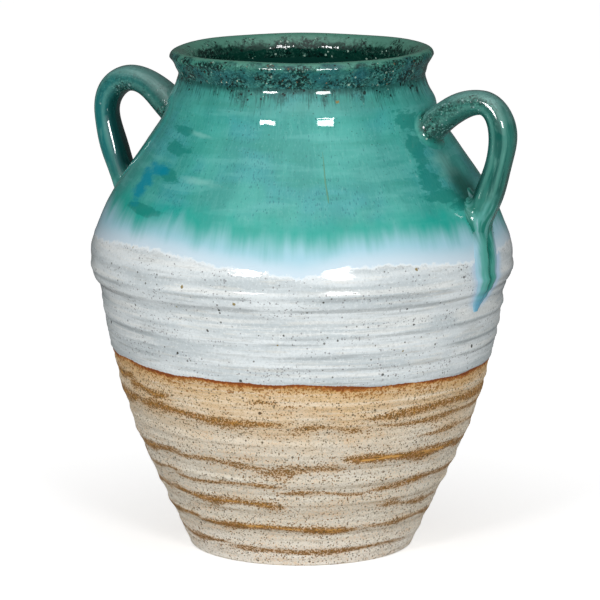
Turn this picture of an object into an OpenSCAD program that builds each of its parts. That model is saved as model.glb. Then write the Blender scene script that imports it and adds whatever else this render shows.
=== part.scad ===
// Two-handled amphora vase in thrown stoneware, built up from sections joined with slip.
// Millimetres. +Z is up, the foot stands on z = 0, the handles lie along X.

/* [Lower section] */
// Height from the table to the join below the belly
lower_h = 206; // [180:1:230]
// Diameter of the foot at the table
foot_d = 178.5; // [150:0.5:200]
// Lean of the wall from upright just above the foot, in degrees
foot_lean = 23; // [10:0.5:30]
// Height of the flank station above the table
flank_z = 80; // [60:1:110]
// Diameter at the flank station
flank_d = 252.5; // [235:0.5:267]
// Lean of the wall at the flank station, in degrees
flank_lean = 23.5; // [15:0.5:30]
// Diameter at the join
join_d = 319.5; // [300:0.5:324]
// Lean of the wall just below the join, in degrees
join_lean = 8; // [0:0.5:15]

/* [Upper section] */
// Height from the join to the neck
upper_h = 175; // [160:1:200]
// Height of the belly line above the join
belly_rise = 28; // [20:1:40]
// Diameter at the belly line
belly_d = 334.5; // [326:0.5:350]
// Lean of the wall just above the join, in degrees
swell_lean = 22; // [10:0.5:30]
// Height of the shoulder station above the join
shoulder_rise = 104; // [90:1:115]
// Diameter at the shoulder station
shoulder_d = 268.5; // [255:0.5:280]
// Inward lean of the shoulder, in degrees
shoulder_lean = 35.5; // [25:0.5:40]
// Diameter at the neck crease
neck_d = 194.5; // [185:0.5:204]
// Inward lean of the wall just below the neck crease, in degrees
neck_lean = 13; // [0:0.5:18]

/* [Rim] */
// Height of the rim above the neck crease
rim_h = 19; // [16:0.5:26]
// Diameter at the widest line of the lip
lip_d = 209; // [206:0.5:224]
// Rounding of the outer edge of the lip
lip_edge = 5.5; // [2:0.25:7]
// Clear diameter of the throat
throat_d = 176; // [166:0.5:178]
// Depth of the throat below the crest of the lip
throat_drop = 14; // [10:0.5:15]

/* [Wall and floor] */
// Thickness of the wall, measured level
wall = 7.5; // [6:0.25:9]
// Thickness of the floor at the middle
floor_t = 10; // [7:0.5:14]
// Radius of the curve from the floor into the wall
floor_curve = 22; // [10:1:30]
// Width of the ring that the foot stands on
foot_ring_w = 16; // [10:1:24]
// Depth of the recess inside the foot ring
foot_recess = 2.5; // [1:0.25:4]
// Rounding of the outer edge of the foot
foot_edge = 2; // [1:0.25:4]

/* [Throwing rings] */
// Number of finger grooves up the lower section
ring_count = 12; // [6:1:16]
// Depth of a finger groove
ring_depth = 1; // [0.5:0.1:2]

/* [Slip joints] */
// Width of the scored V between two sections
score_w = 3; // [2:0.25:4]
// Depth of the scored V
score_h = 2; // [1:0.25:3]
// Film of slip between luted faces
slip_film = 0.1; // [0.05:0.05:0.2]

/* [Handles] */
// Thickness of the pulled strap, in the plane of the loop
handle_t = 21; // [16:0.5:24]
// Width of the pulled strap, across the loop
handle_w = 25; // [20:0.5:32]
// Drop of the upper root below the neck crease
upper_root_drop = 38; // [30:1:44]
// Rise of the strap from level where it leaves the upper root, in degrees
upper_root_lift = 42; // [30:1:55]
// Reach of the crown beyond the upper root
crown_out = 44; // [36:1:52]
// Height of the crown above the upper root
crown_up = 24; // [18:1:30]
// Reach of the elbow beyond the belly line
elbow_out = 8.75; // [5:0.25:20]
// Drop of the elbow below the crown
elbow_drop = 27; // [20:1:34]
// Height of the lower root above the belly line
lower_root_rise = 40; // [32:1:50]
// Inward lean of the strap where it meets the lower root, in degrees
lower_root_lean = 23; // [15:1:30]

/* [Luting coils] */
// Width of the luting coil that shows round a root
coil_w = 6; // [4:0.5:8]
// Height of the luting coil off the wall
coil_h = 9; // [7:0.5:11]

/* [Hidden] */
$fn = 180;
join_z = lower_h;
belly_z = join_z + belly_rise;
shoulder_z = join_z + shoulder_rise;
neck_z = join_z + upper_h;
top_z = neck_z + rim_h;
ring_steps = 6;
upper_steps = 40;
arc_steps = 8;
strap_steps = 12;
strap_sides = 28;
// Length of strap that runs on inside the wall before it is trimmed
root_depth = 16;

// Outline stations: height, radius, radius gained per millimetre of height
lower_stations = [
    [0, foot_d / 2, tan(foot_lean)],
    [flank_z, flank_d / 2, tan(flank_lean)],
    [join_z, join_d / 2, tan(join_lean)]
];
upper_stations = [
    [join_z, join_d / 2, tan(swell_lean)],
    [belly_z, belly_d / 2, 0],
    [shoulder_z, shoulder_d / 2, -tan(shoulder_lean)],
    [neck_z, neck_d / 2, -tan(neck_lean)]
];

// Radius on the cubic between two stations
function span_r(a, b, z) =
    let (h = b[0] - a[0])
    let (t = (z - a[0]) / h)
    a[1] * (1 + 2 * t) * pow(1 - t, 2)
    + b[1] * (3 - 2 * t) * t * t
    + h * a[2] * t * pow(1 - t, 2)
    - h * b[2] * (1 - t) * t * t;

// Radius of the smooth outline through a list of stations
function outline_r(stations, z, i = 0) =
    (z <= stations[i + 1][0] || i == len(stations) - 2)
        ? span_r(stations[i], stations[i + 1], z)
        : outline_r(stations, z, i + 1);

function lower_r(z) = outline_r(lower_stations, z);
function upper_r(z) = outline_r(upper_stations, z);

// Depth of the finger grooves, none at the foot and at the join
function groove(z) = ring_depth * (1 - cos(360 * ring_count * z / lower_h)) / 2;

// Evenly spaced heights from a to b
function heights(a, b, n) = [for (i = [0 : n]) a + (b - a) * i / n];

lower_heights = heights(foot_edge, join_z, ring_steps * ring_count);
upper_heights = heights(join_z, neck_z, upper_steps);

// Scored V in the middle of a wall, on the level z, pointing down
function score(outer_r, z, film) =
    let (mid = outer_r - wall / 2)
    [
        [mid + score_w / 2 - film, z],
        [mid, z - score_h + film],
        [mid - score_w / 2 + film, z]
    ];

function reverse(list) = [for (i = [len(list) - 1 : -1 : 0]) list[i]];

// Thrown base section with its floor and foot ring
module lower_section() {
    foot_r = lower_r(foot_edge);
    recess_r = foot_r - foot_edge - foot_ring_w;
    floor_z = floor_t + floor_curve;
    curve_r = lower_r(floor_z) - wall - floor_curve;
    foot_arc = [
        for (i = [0 : arc_steps - 1])
        let (a = 90 * i / arc_steps)
        [foot_r - foot_edge * (1 - sin(a)), foot_edge * (1 - cos(a))]
    ];
    outside = [for (z = lower_heights) [lower_r(z) - groove(z), z]];
    inside = [for (z = heights(join_z, floor_z, upper_steps)) [lower_r(z) - wall, z]];
    floor_arc = [
        for (i = [1 : arc_steps])
        let (a = 90 * i / arc_steps)
        [curve_r + floor_curve * cos(a), floor_z - floor_curve * sin(a)]
    ];
    color([0.80, 0.71, 0.57])
    rotate_extrude()
    polygon(concat(
        [[0, floor_t], [0, foot_recess], [recess_r - foot_recess, foot_recess], [recess_r, 0]],
        foot_arc,
        outside,
        score(join_d / 2, join_z, 0),
        inside,
        floor_arc
    ));
}

// Thrown belly and shoulder section, open at both ends
module upper_section() {
    outside = [for (z = upper_heights) [upper_r(z), z]];
    inside = [for (z = reverse(upper_heights)) [upper_r(z) - wall, z]];
    color([0.36, 0.66, 0.61])
    rotate_extrude()
    polygon(concat(
        outside,
        score(neck_d / 2, neck_z, 0),
        inside,
        reverse(score(join_d / 2, join_z, slip_film))
    ));
}

// Flared lip thrown from a coil on top of the neck
module rim_ring() {
    lip_r = lip_d / 2;
    crest_r = lip_r - lip_edge;
    throat_r = throat_d / 2;
    edge_arc = [
        for (i = [0 : arc_steps])
        let (a = 90 * i / arc_steps)
        [crest_r + lip_edge * cos(a), top_z - lip_edge * (1 - sin(a))]
    ];
    throat_arc = [
        for (i = [1 : arc_steps])
        let (a = 90 * i / arc_steps)
        [crest_r - (crest_r - throat_r) * sin(a), top_z - throat_drop * (1 - cos(a))]
    ];
    color([0.22, 0.38, 0.34])
    rotate_extrude()
    polygon(concat(
        [[neck_d / 2, neck_z]],
        edge_arc,
        throat_arc,
        [[neck_d / 2 - wall, neck_z]],
        reverse(score(neck_d / 2, neck_z, slip_film))
    ));
}

// Point at t along a cubic curve with four control points
function bezier(p, t) =
    p[0] * pow(1 - t, 3)
    + p[1] * 3 * t * pow(1 - t, 2)
    + p[2] * 3 * t * t * (1 - t)
    + p[3] * t * t * t;

// Middle line of a strap in the plane of its loop: radius and height
upper_root = [upper_r(neck_z - upper_root_drop), neck_z - upper_root_drop];
upper_dir = [cos(upper_root_lift), sin(upper_root_lift)];
crown = upper_root + [crown_out, crown_up];
elbow = [belly_d / 2 + elbow_out, crown[1] - elbow_drop];
lower_root = [upper_r(belly_z + lower_root_rise), belly_z + lower_root_rise];
lower_dir = [-sin(lower_root_lean), -cos(lower_root_lean)];
rise_pull = norm(crown - upper_root) * 0.34;
turn_pull = (elbow - crown) * 0.56;
fall_pull = norm(elbow - lower_root) * 0.24;
rise = [upper_root, upper_root + upper_dir * rise_pull, crown - [rise_pull, 0], crown];
turn = [crown, crown + [turn_pull[0], 0], elbow - [0, turn_pull[1]], elbow];
fall = [elbow, elbow - [0, fall_pull], lower_root - lower_dir * fall_pull, lower_root];
strap_line = concat(
    [upper_root - upper_dir * root_depth],
    [for (i = [0 : strap_steps - 1]) bezier(rise, i / strap_steps)],
    [for (i = [0 : strap_steps - 1]) bezier(turn, i / strap_steps)],
    [for (i = [0 : strap_steps]) bezier(fall, i / strap_steps)],
    [lower_root + lower_dir * root_depth]
);

function unit(v) = v / norm(v);

// Oval ring of points round p, with n in the plane of the loop and half sizes a and b
function oval(p, n, a, b) = [
    for (i = [0 : strap_sides - 1])
    let (q = 360 * i / strap_sides)
    [p[0] + n[0] * a * cos(q), b * sin(q), p[1] + n[1] * a * cos(q)]
];

// Solid through a row of rings that have the same number of points
module loft(rings) {
    n = len(rings[0]);
    last = len(rings) - 1;
    points = [for (ring = rings) for (p = ring) p];
    sides = [
        for (j = [0 : last - 1])
        for (i = [0 : n - 1])
        let (a = j * n + i)
        let (b = j * n + (i + 1) % n)
        for (f = [[a, b + n, b], [a, a + n, b + n]]) f
    ];
    first_cap = [for (i = [1 : n - 2]) [0, i, i + 1]];
    last_cap = [for (i = [1 : n - 2]) [last * n, last * n + i + 1, last * n + i]];
    polyhedron(points = points, faces = concat(sides, first_cap, last_cap), convexity = 6);
}

// Pulled strap before it is trimmed to the wall, grown by a margin
module strap(grow) {
    last = len(strap_line) - 1;
    loft([
        for (i = [0 : last])
        let (d = unit(strap_line[min(i + 1, last)] - strap_line[max(i - 1, 0)]))
        oval(strap_line[i], [d[1], -d[0]], handle_t / 2 + grow, handle_w / 2 + grow)
    ]);
}

// Outside of the upper section as one solid, with the film of slip on it
module wall_form() {
    rotate_extrude()
    polygon(concat(
        [[0, neck_z], [0, join_z]],
        [for (z = upper_heights) [upper_r(z) + slip_film, z]]
    ));
}

// Handle along +X, trimmed to the wall at both roots
module handle() {
    color([0.25, 0.48, 0.43])
    difference() {
        strap(0);
        wall_form();
    }
}

// Coil of clay pressed round a root: root point and direction of the strap
module luting_coil(root, dir) {
    slope = upper_r(root[1] + 0.5) - upper_r(root[1] - 0.5);
    out = unit([1, -slope]);
    along = [-out[1], out[0]];
    half_l = handle_t / 2 / abs(dir * out) + coil_w;
    half_w = handle_w / 2 + coil_w;
    color([0.20, 0.42, 0.38])
    difference() {
        loft([
            for (a = [15 : 10 : 125])
            oval(root + out * coil_h * cos(a), along, half_l * sin(a), half_w * sin(a))
        ]);
        strap(slip_film);
        wall_form();
    }
}

module right_handle() {
    handle();
}

module left_handle() {
    mirror([1, 0, 0])
    handle();
}

module right_upper_coil() {
    luting_coil(upper_root, upper_dir);
}

module left_upper_coil() {
    mirror([1, 0, 0])
    luting_coil(upper_root, upper_dir);
}

module right_lower_coil() {
    luting_coil(lower_root, lower_dir);
}

module left_lower_coil() {
    mirror([1, 0, 0])
    luting_coil(lower_root, lower_dir);
}

lower_section();
upper_section();
rim_ring();
right_handle();
left_handle();
right_upper_coil();
left_upper_coil();
right_lower_coil();
left_lower_coil();
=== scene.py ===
"""Amphora vase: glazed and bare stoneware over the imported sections. +Z is up and the handles lie along X."""
import math

import bmesh
import bpy
import numpy as np
from mathutils import Matrix, Vector


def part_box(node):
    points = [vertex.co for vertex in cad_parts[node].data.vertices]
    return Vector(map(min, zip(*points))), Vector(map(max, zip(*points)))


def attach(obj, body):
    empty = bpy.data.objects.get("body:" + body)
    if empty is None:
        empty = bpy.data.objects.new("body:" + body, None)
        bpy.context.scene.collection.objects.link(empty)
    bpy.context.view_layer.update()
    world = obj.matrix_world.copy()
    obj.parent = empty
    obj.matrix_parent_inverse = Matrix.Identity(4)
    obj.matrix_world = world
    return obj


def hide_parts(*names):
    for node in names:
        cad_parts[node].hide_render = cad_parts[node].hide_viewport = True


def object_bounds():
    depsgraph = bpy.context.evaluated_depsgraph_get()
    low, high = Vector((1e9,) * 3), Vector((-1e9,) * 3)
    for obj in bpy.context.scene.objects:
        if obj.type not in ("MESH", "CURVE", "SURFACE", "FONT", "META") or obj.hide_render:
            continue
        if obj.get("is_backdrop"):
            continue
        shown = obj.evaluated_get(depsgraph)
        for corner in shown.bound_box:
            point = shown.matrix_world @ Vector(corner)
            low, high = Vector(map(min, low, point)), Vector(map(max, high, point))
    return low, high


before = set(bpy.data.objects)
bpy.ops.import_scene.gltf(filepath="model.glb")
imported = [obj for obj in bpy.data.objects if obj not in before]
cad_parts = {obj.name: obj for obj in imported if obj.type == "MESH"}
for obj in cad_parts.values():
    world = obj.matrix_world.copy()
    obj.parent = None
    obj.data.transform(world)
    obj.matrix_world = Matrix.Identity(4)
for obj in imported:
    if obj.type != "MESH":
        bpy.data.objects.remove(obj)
cad_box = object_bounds()

# Shapes are worked out in millimetres and turned into metres when a mesh is made
MM = 0.001
JOIN_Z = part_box("lower_section")[1][2] / MM
NECK_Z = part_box("upper_section")[1][2] / MM
TOP_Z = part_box("rim_ring")[1][2] / MM

# Camera: place and lens that the photograph was taken with
CAMERA_AZIMUTH = 27.0
CAMERA_DISTANCE = 3.36
CAMERA_HEIGHT = 0.84
CAMERA_PITCH = 10.836
FOCAL_PIXELS = 4266.0
IMAGE_PIXELS = 600.0
AXIS_PIXEL = 301.3
SENSOR_MM = 36.0

# Form of the wall
WALL = 7.5
FLOOR_T = 10.0
FLOOR_CURVE = 22.0
FOOT_RING_W = 16.0
FOOT_RECESS = 2.5
FOOT_EDGE = 2.0
FOOT_R = 89.25
FLANK_Z = 80.0
FLANK_R = 126.25
JOIN_R = 159.75
BELLY_Z = JOIN_Z + 28.0
BELLY_R = 167.25
SHOULDER_Z = JOIN_Z + 104.0
SHOULDER_R = 134.25
NECK_R = 97.25
LIP_R = 104.5
LIP_EDGE = 5.5
THROAT_R = 88.0
THROAT_DROP = 14.0

# Form of the handles
STRAP_T = 21.0
STRAP_W = 25.0
UPPER_ROOT_Z = NECK_Z - 38.0
UPPER_ROOT_LIFT = 42.0
CROWN_OUT = 44.0
CROWN_UP = 24.0
ELBOW_R = BELLY_R + 8.75
ELBOW_DROP = 27.0
LOWER_ROOT_Z = BELLY_Z + 40.0
LOWER_ROOT_LEAN = 23.0

# Mesh density
AROUND = 480
ROW_STEP = 1.45
INSIDE_ROWS = 30

FRONT = math.radians(CAMERA_AZIMUTH - 90.0)


def slope(degrees):
    """Radius gained per millimetre of height by a wall that leans so far from upright."""
    return math.tan(math.radians(degrees))


STATIONS = (
    (0.0, FOOT_R, slope(23), slope(23)),
    (FLANK_Z, FLANK_R, slope(23.5), slope(23.5)),
    (JOIN_Z, JOIN_R, slope(8), slope(22)),
    (BELLY_Z, BELLY_R, 0.0, 0.0),
    (SHOULDER_Z, SHOULDER_R, -slope(35.5), -slope(35.5)),
    (NECK_Z, NECK_R, -slope(13), -slope(13)),
)


def smooth_r(z):
    """Radius of the outside before any finger marks: a cubic between each two stations."""
    z = np.asarray(z, float)
    r = np.full(z.shape, FOOT_R)
    for (z0, r0, _, m0), (z1, r1, m1, _) in zip(STATIONS[:-1], STATIONS[1:]):
        h = z1 - z0
        t = (z - z0) / h
        cubic = (
            r0 * (1 + 2 * t) * (1 - t) ** 2
            + r1 * (3 - 2 * t) * t**2
            + h * m0 * t * (1 - t) ** 2
            - h * m1 * (1 - t) * t**2
        )
        r = np.where(z >= z0, cubic, r)
    return r


# Rings that the fingers raised or hollowed: height on the wall, relief, half width, rise at the camera's side
RINGS = (
    (15.0, 0.5, 4.6, 0.0), (25.0, -0.3, 4.0, 0.0), (35.0, 0.8, 4.6, 0.0), (46.0, -0.3, 4.0, 0.0),
    (56.0, 0.7, 4.4, 1.0), (64.0, -0.3, 3.0, 0.0), (72.0, 0.7, 4.4, 1.0), (83.0, -0.4, 5.0, 0.0),
    (97.0, 1.0, 5.0, -1.0), (109.0, 0.4, 3.4, 0.0), (118.0, -0.4, 4.0, 0.0), (129.0, 0.9, 5.0, -2.0),
    (139.0, 0.4, 3.4, 0.0), (148.0, -0.3, 4.0, 0.0), (163.0, 0.4, 4.0, 0.0), (172.5, 0.7, 3.6, 0.0),
    (184.0, 0.9, 3.6, -1.0), (192.0, 0.5, 3.0, 1.0), (200.0, 1.0, 4.2, 0.0), (211.0, -0.4, 4.5, 0.0),
    (229.0, 1.2, 3.5, 0.0), (242.0, 1.0, 8.2, 0.0), (263.7, -0.5, 9.5, 0.0), (343.0, -1.4, 9.5, 0.0),
    (361.2, 1.6, 6.4, 0.0), (383.0, -0.9, 2.5, 0.0),
)
# Ledge that the thumb left under the belly: height, half of its step, half height of the step, reach
LEDGE_Z = 218.5
LEDGE_STEP = 1.0
LEDGE_STEEP = 1.7
LEDGE_REACH = 9.0
LEDGE_WAVES = ((0.8, 1, 2.0), (0.5, 3, 0.0))
# Finer spirals: size, pitch up the wall, turns of the spiral, phase
FINE_MARKS = (
    (0.24, 14.2, 1, 0.6), (0.18, 8.3, 1, 2.1), (0.14, 5.3, -1, 4.4), (0.10, 3.9, 2, 1.3),
)
# How strong they are by height, how uneven they are, and how uneven the rings are
MARK_HEIGHTS = (0.0, 6.0, 20.0, 150.0, 224.0, 240.0, 256.0, NECK_Z)
MARK_STRENGTH = (0.0, 0.4, 1.0, 1.0, 0.7, 0.2, 0.08, 0.1)
MARK_MEAN = 0.75
MARK_UNEVEN = 0.4
MARK_SPELL = 11.0
RING_UNEVEN = 0.25
# How far the wall leans and is out of round, with the share of that by height
LEAN = 1.0
OUT_OF_ROUND = ((0.3, 2, 0.4), (0.2, 3, 1.9))
ROUND_HEIGHTS = (0.0, 60.0, 110.0, 200.0, 250.0, NECK_Z)
ROUND_SHARES = (0.1, 0.5, 1.0, 1.0, 0.4, 0.3)


def bell(offset, half):
    """1 in the middle, with soft sides of about that half width."""
    return np.exp(-((offset / half) ** 2))


def waves(table, turn):
    """Sum of waves round the vase or along a strap, each given by its size, number and phase."""
    return sum(size * np.sin(count * turn + phase) for size, count, phase in table)


def finger_marks(turn, z):
    """Relief that the throwing left on the outside, in millimetres."""
    fine = np.zeros(np.shape(z))
    for size, pitch, turns, phase in FINE_MARKS:
        drift = waves(((0.7, 1, phase), (0.5, 2, -phase)), turn)
        wave = np.sin(2 * math.pi * z / pitch + turns * turn + phase + drift)
        uneven = MARK_MEAN + MARK_UNEVEN * np.sin(z / MARK_SPELL + 2 * turn + phase)
        fine = fine + size * wave * uneven
    relief = fine * np.interp(z, MARK_HEIGHTS, MARK_STRENGTH)
    for middle, height, half, front in RINGS:
        wander = front * np.cos(turn - FRONT) + waves(((1.0, 1, middle), (0.8, 2, 0.7 * middle)), turn)
        swell = 1 + RING_UNEVEN * np.sin(turn - 0.4 * middle)
        relief = relief + height * swell * bell(z - middle - wander, half)
    up = z - LEDGE_Z - waves(LEDGE_WAVES, turn)
    relief = relief + LEDGE_STEP * np.tanh(up / LEDGE_STEEP) * bell(up, LEDGE_REACH)
    off_round = LEAN * np.sin(turn - FRONT) + waves(OUT_OF_ROUND, turn)
    return relief + off_round * np.interp(z, ROUND_HEIGHTS, ROUND_SHARES)


# Edges of the glaze coats: angle from the camera's side in degrees, height in millimetres
BLUE_EDGE = (
    (-180, 250), (-150, 255), (-115, 248), (-90, 251), (-74, 254), (-50, 259), (-35, 256), (-19, 250),
    (0, 245), (14, 252), (27, 252), (52, 246), (80, 250), (110, 245), (140, 253), (165, 246),
)
GREEN_EDGE = (
    (-180, 271), (-140, 268), (-100, 277), (-72, 281), (-56, 275), (-38, 279), (-20, 272),
    (-3, 268), (8, 273), (29, 274), (52, 272), (90, 268), (130, 274), (155, 267),
)
# Lower edge of the white glaze: height, how far it was dipped askew, and the waves in it
DIP_Z = 158.2
DIP_ASKEW = 4.2
DIP_WAVES = ((0.7, 5, 1.0), (0.5, 11, 0.3), (0.35, 23, 2.0))


def from_front(turn):
    """Angle in degrees from the camera's side, positive to its right."""
    return (np.degrees(turn - FRONT) + 180.0) % 360.0 - 180.0


def edge_height(points, turn):
    """Height of a coat's edge at an angle round the vase."""
    angles, heights = zip(*points)
    return np.interp(from_front(turn), angles, heights, period=360)


def glaze_line(turn):
    """Height of the lower edge of the white glaze: dipped a little askew, with a hand's wobble."""
    return DIP_Z - DIP_ASKEW * np.sin(turn - FRONT) + waves(DIP_WAVES, turn)


# Rust streaks: from and to angle, from and to height, half width, strength
RUST_STREAKS = (
    (-94, -62, 150, 147, 3.0, 1.1), (-68, -44, 143, 139, 2.6, 0.9), (-96, -58, 131, 131, 4.0, 1.0),
    (-66, -2, 131, 124, 3.2, 0.88), (-20, 4, 143, 142, 1.6, 0.35), (-4, 26, 124, 121, 2.6, 0.45),
    (18, 96, 130, 135, 3.4, 0.82), (20, 96, 122, 122, 2.4, 0.75), (38, 92, 110, 108, 1.8, 0.5),
    (13, 70, 94, 92, 3.6, 1.15), (60, 98, 92, 88, 2.6, 0.8), (-20, 18, 84, 88, 4.5, 0.4),
    (-98, -44, 88, 93, 3.2, 0.95), (-52, -8, 92, 87, 2.2, 0.55), (-92, -46, 76, 74, 1.8, 0.6),
    (-58, -4, 71, 72, 1.6, 0.6), (-12, 30, 67, 64, 1.4, 0.55), (22, 80, 66, 72, 2.6, 0.75),
    (-96, -60, 58, 57, 2.4, 0.7), (-64, -4, 58, 53, 2.6, 0.95), (30, 76, 50, 46, 2.2, 0.5),
    (-98, -46, 38, 35, 2.4, 0.8), (-54, 30, 35, 32, 2.3, 1.1), (24, 84, 34, 32, 2.2, 0.75),
    (-44, 62, 13, 13, 2.2, 0.7), (-92, -30, 19, 15, 2.2, 0.8),
)
# A streak tapers over this part of its length at each end, and wanders so far up and down
STREAK_END = 1 / 7
STREAK_WANDER = 1.1
# Streaks on the side away from the camera: how many, seed, lowest height and span, and ranges of the start
# and length in degrees, step up the wall, rise, half width and strength
HIDDEN_STREAKS = 24
HIDDEN_SEED = 7
HIDDEN_LOW, HIDDEN_SPAN = 10.0, 140.0
HIDDEN_RANGES = ((75, 235), (14, 100), (-0.6, 1.6), (-7, 7), (1.0, 3.6), (0.35, 1.1))


def hidden_streaks():
    """Streaks of the same kind on the side away from the camera."""
    draw = np.random.default_rng(HIDDEN_SEED)
    for i in range(HIDDEN_STREAKS):
        start, length, step, rise, half, strength = [draw.uniform(*limits) for limits in HIDDEN_RANGES]
        z = HIDDEN_LOW + HIDDEN_SPAN * (i + step) / HIDDEN_STREAKS
        yield start, start + length, z, z + rise, half, strength


def rust(turn, z):
    """How rusty the bare clay is, from 0 to 1, in streaks along the finger marks."""
    amount = np.zeros(np.shape(z))
    angle = from_front(turn)
    for start, end, z0, z1, half, strength in (*RUST_STREAKS, *hidden_streaks()):
        along = ((angle - start) % 360.0) / (end - start)
        middle = z0 + (z1 - z0) * along + STREAK_WANDER * np.sin(along * 9.0 + z0)
        ends = np.clip(along / STREAK_END, 0, 1) * np.clip((1 - along) / STREAK_END, 0, 1)
        swell = 0.9 + 0.25 * np.sin(along * 14.0 + z0)
        amount = np.maximum(amount, strength * ends * bell(z - middle, half * swell))
    return amount


# Relief of the rust, of the white coat, of the blue coat's rolled edge and of the small flare under the lip
RUST_T = 0.35
COAT_T = 0.5
COAT_EDGE = 1.5
ROLL_T = 0.55
ROLL_EDGE = 2.5
ROLL_FADE = 9.0
FLARE_T = 0.9
FLARE_EDGE = 3.0


def wall_r(turn, z):
    """Radius of the outside as thrown, with the glaze coats standing a little proud of the bare clay."""
    coat = COAT_T * np.clip((z - glaze_line(turn)) / COAT_EDGE, 0, 1)
    over = z - edge_height(BLUE_EDGE, turn)
    roll = ROLL_T * np.clip(over / ROLL_EDGE, 0, 1) * np.exp(-np.clip(over, 0, None) / ROLL_FADE)
    flare = FLARE_T * np.clip((z - NECK_Z + FLARE_EDGE) / FLARE_EDGE, 0, 1) ** 2
    return smooth_r(z) + finger_marks(turn, z) + RUST_T * rust(turn, z) + coat + roll + flare


def add_object(name, data):
    """Object that stands in the scene."""
    made = bpy.data.objects.new(name, data)
    bpy.context.scene.collection.objects.link(made)
    return made


def make_piece(name, grid, wrap_rows=False, sharp=40.0):
    """Mesh over a grid of points (rows, columns, xyz) that closes round its columns.

    Its rows close into a ring too, or both ends are capped. A map for baking follows the grid.
    """
    rows, cols = grid.shape[:2]
    steps = rows if wrap_rows else rows - 1
    i, j = [a.ravel() for a in np.meshgrid(np.arange(steps), np.arange(cols), indexing="ij")]
    this, ahead, beside = i * cols, (i + 1) % rows * cols, (j + 1) % cols
    faces = np.stack([this + j, this + beside, ahead + beside, ahead + j], axis=1).tolist()
    corners = [np.stack([j, i, j + 1, i, j + 1, i + 1, j, i + 1], axis=1).reshape(-1, 2)]
    if not wrap_rows:
        ring = np.arange(cols)
        faces += [ring[::-1].tolist(), (ring + (rows - 1) * cols).tolist()]
        corners += [np.stack([ring[::-1], 0 * ring], axis=1), np.stack([ring, 0 * ring + steps], axis=1)]
    mesh = bpy.data.meshes.new(name)
    mesh.from_pydata((grid.reshape(-1, 3) * MM).tolist(), [], faces)
    places = np.vstack(corners) / (cols, steps)
    mesh.uv_layers.new(name="OFBake").data.foreach_set("uv", places.astype(np.float32).ravel())
    shell = bmesh.new()
    shell.from_mesh(mesh)
    bmesh.ops.recalc_face_normals(shell, faces=shell.faces)
    shell.to_mesh(mesh)
    shell.free()
    mesh.shade_smooth()
    mesh.set_sharp_from_angle(angle=math.radians(sharp))
    return add_object(name, mesh)


def paint(piece, **values):
    """Gives every vertex its numbers or vectors, which the glaze materials read."""
    for name, given in values.items():
        given = np.asarray(given, np.float32)
        kind, field = ("FLOAT_VECTOR", "vector") if given.ndim == 2 else ("FLOAT", "value")
        layer = piece.data.attributes.new(name, kind, "POINT")
        layer.data.foreach_set(field, given.ravel())


def vertex_places(piece):
    """Angle round the vase, height and radius of each vertex, in radians and millimetres."""
    flat = np.empty(len(piece.data.vertices) * 3, np.float32)
    piece.data.vertices.foreach_get("co", flat)
    x, y, z = flat.reshape(-1, 3).T / MM
    return np.arctan2(y, x), z, np.hypot(x, y)


def polar(r, turn, z):
    """Points from their radius, angle round the vase and height."""
    return np.stack([r * np.cos(turn), r * np.sin(turn), z], axis=-1)


def walked(points):
    """Length along lines of points (steps, ..., coordinates) up to each step."""
    steps = np.linalg.norm(np.diff(points, axis=0), axis=-1)
    return np.concatenate([np.zeros((1, *steps.shape[1:])), steps.cumsum(axis=0)])


def unit(vectors):
    """The same directions with a length of 1."""
    return vectors / np.linalg.norm(vectors, axis=-1, keepdims=True)


TURN = np.linspace(0, 2 * math.pi, AROUND, endpoint=False)


def ring_rows(profile):
    """Grid of a round piece from rows of (radius, height), each a number or one value per angle."""
    return np.array([polar(r, TURN, np.broadcast_to(z, TURN.shape)) for r, z in profile])


def wall_rows(z0, z1):
    """Rows up the outside of the wall."""
    count = int(round((z1 - z0) / ROW_STEP))
    return [(wall_r(TURN, np.full(AROUND, z)), z) for z in np.linspace(z0, z1, count + 1)]


def inside_rows(z0, z1):
    """Rows along the inside of the wall."""
    return [(smooth_r(z) - WALL, z) for z in np.linspace(z0, z1, INSIDE_ROWS + 1)]


def arc(middle, radii, start, end, count):
    """Points on an arc of an ellipse, angles in degrees from +radius towards +height."""
    angles = np.radians(np.linspace(start, end, count + 1))
    return [(middle[0] + radii[0] * math.cos(a), middle[1] + radii[1] * math.sin(a)) for a in angles]


# Radii of the rows across the underside and the floor, whose innermost rings are capped
UNDER_RADII = (4.0, 30.0, 55.0)
FLOOR_RADII = (50.0, 25.0, 4.0)
# Edge of the recess, and the small bevel from it to the foot ring
RECESS_EDGE = 2.0
BEVEL_R, BEVEL_Z = 1.0, 0.6


def lower_section():
    """Base section: foot ring, ribbed wall and floor."""
    foot_r = float(smooth_r(FOOT_EDGE))
    ring_r = foot_r - FOOT_EDGE - FOOT_RING_W
    floor_z = FLOOR_T + FLOOR_CURVE
    curve = (float(smooth_r(floor_z)) - WALL - FLOOR_CURVE, floor_z)
    recess_r = ring_r - FOOT_RECESS
    profile = [(r, FOOT_RECESS) for r in (*UNDER_RADII, recess_r - RECESS_EDGE, recess_r)]
    profile += [(ring_r - BEVEL_R, BEVEL_Z), (ring_r, 0.0), (ring_r + FOOT_RING_W / 2, 0.0)]
    profile += arc((foot_r - FOOT_EDGE, FOOT_EDGE), (FOOT_EDGE, FOOT_EDGE), -90, -10, 5)
    profile += wall_rows(FOOT_EDGE, JOIN_Z)
    profile += inside_rows(JOIN_Z, floor_z)
    profile += arc(curve, (FLOOR_CURVE, FLOOR_CURVE), -12, -90, 6)
    profile += [(r, FLOOR_T) for r in FLOOR_RADII]
    return make_piece("lower_section_thrown", ring_rows(profile))


def upper_section():
    """Belly and shoulder section."""
    profile = wall_rows(JOIN_Z, NECK_Z) + inside_rows(NECK_Z, JOIN_Z)
    return make_piece("upper_section_thrown", ring_rows(profile), wrap_rows=True)


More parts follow.
